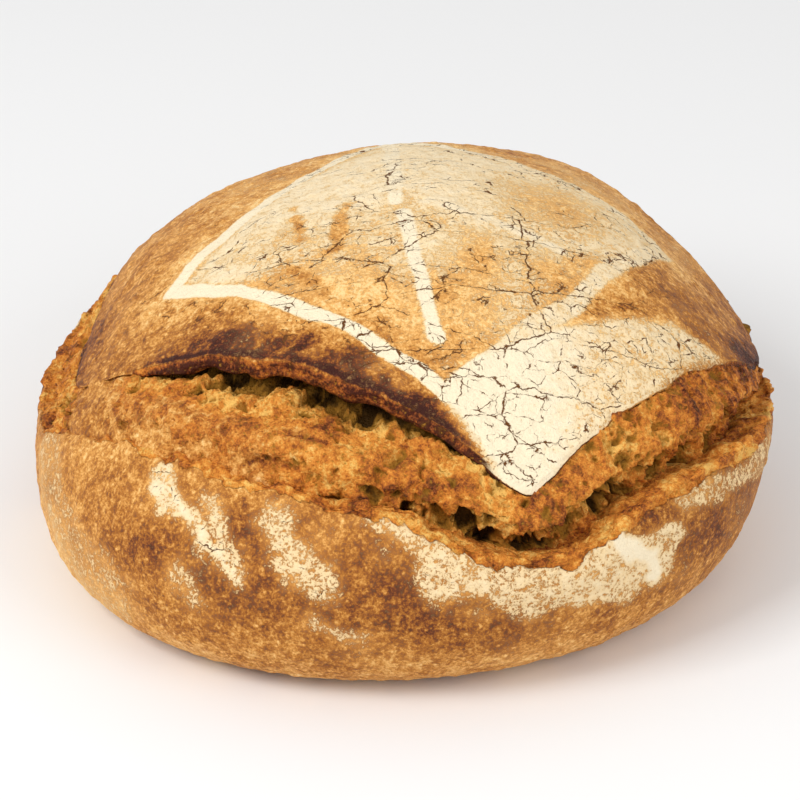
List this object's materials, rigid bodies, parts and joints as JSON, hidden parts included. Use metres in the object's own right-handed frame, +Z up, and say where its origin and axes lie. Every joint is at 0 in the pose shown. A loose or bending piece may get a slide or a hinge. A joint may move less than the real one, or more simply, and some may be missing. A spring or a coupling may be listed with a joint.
{
  "type": "sourdough loaf",
  "caption": "Round sourdough loaf: a domed lid of floured crust stands over a deep torn slot that runs nearly all the way round, with torn crumb and a lower lip of crust below it, on a flat base.",
  "frame": {"origin": "centre of the loaf's flat base, on the surface it stands on", "axes": "+Z up; -Y towards the corner of the lid that droops lowest; +X to the loaf's right"},
  "size_m": [0.2512, 0.2768, 0.1214],
  "materials": {
    "crust": "matte browned bread crust, dusted with flour"
  },
  "bodies": {
    "root": {"loaf": "crust"}
  },
  "joints": []
}
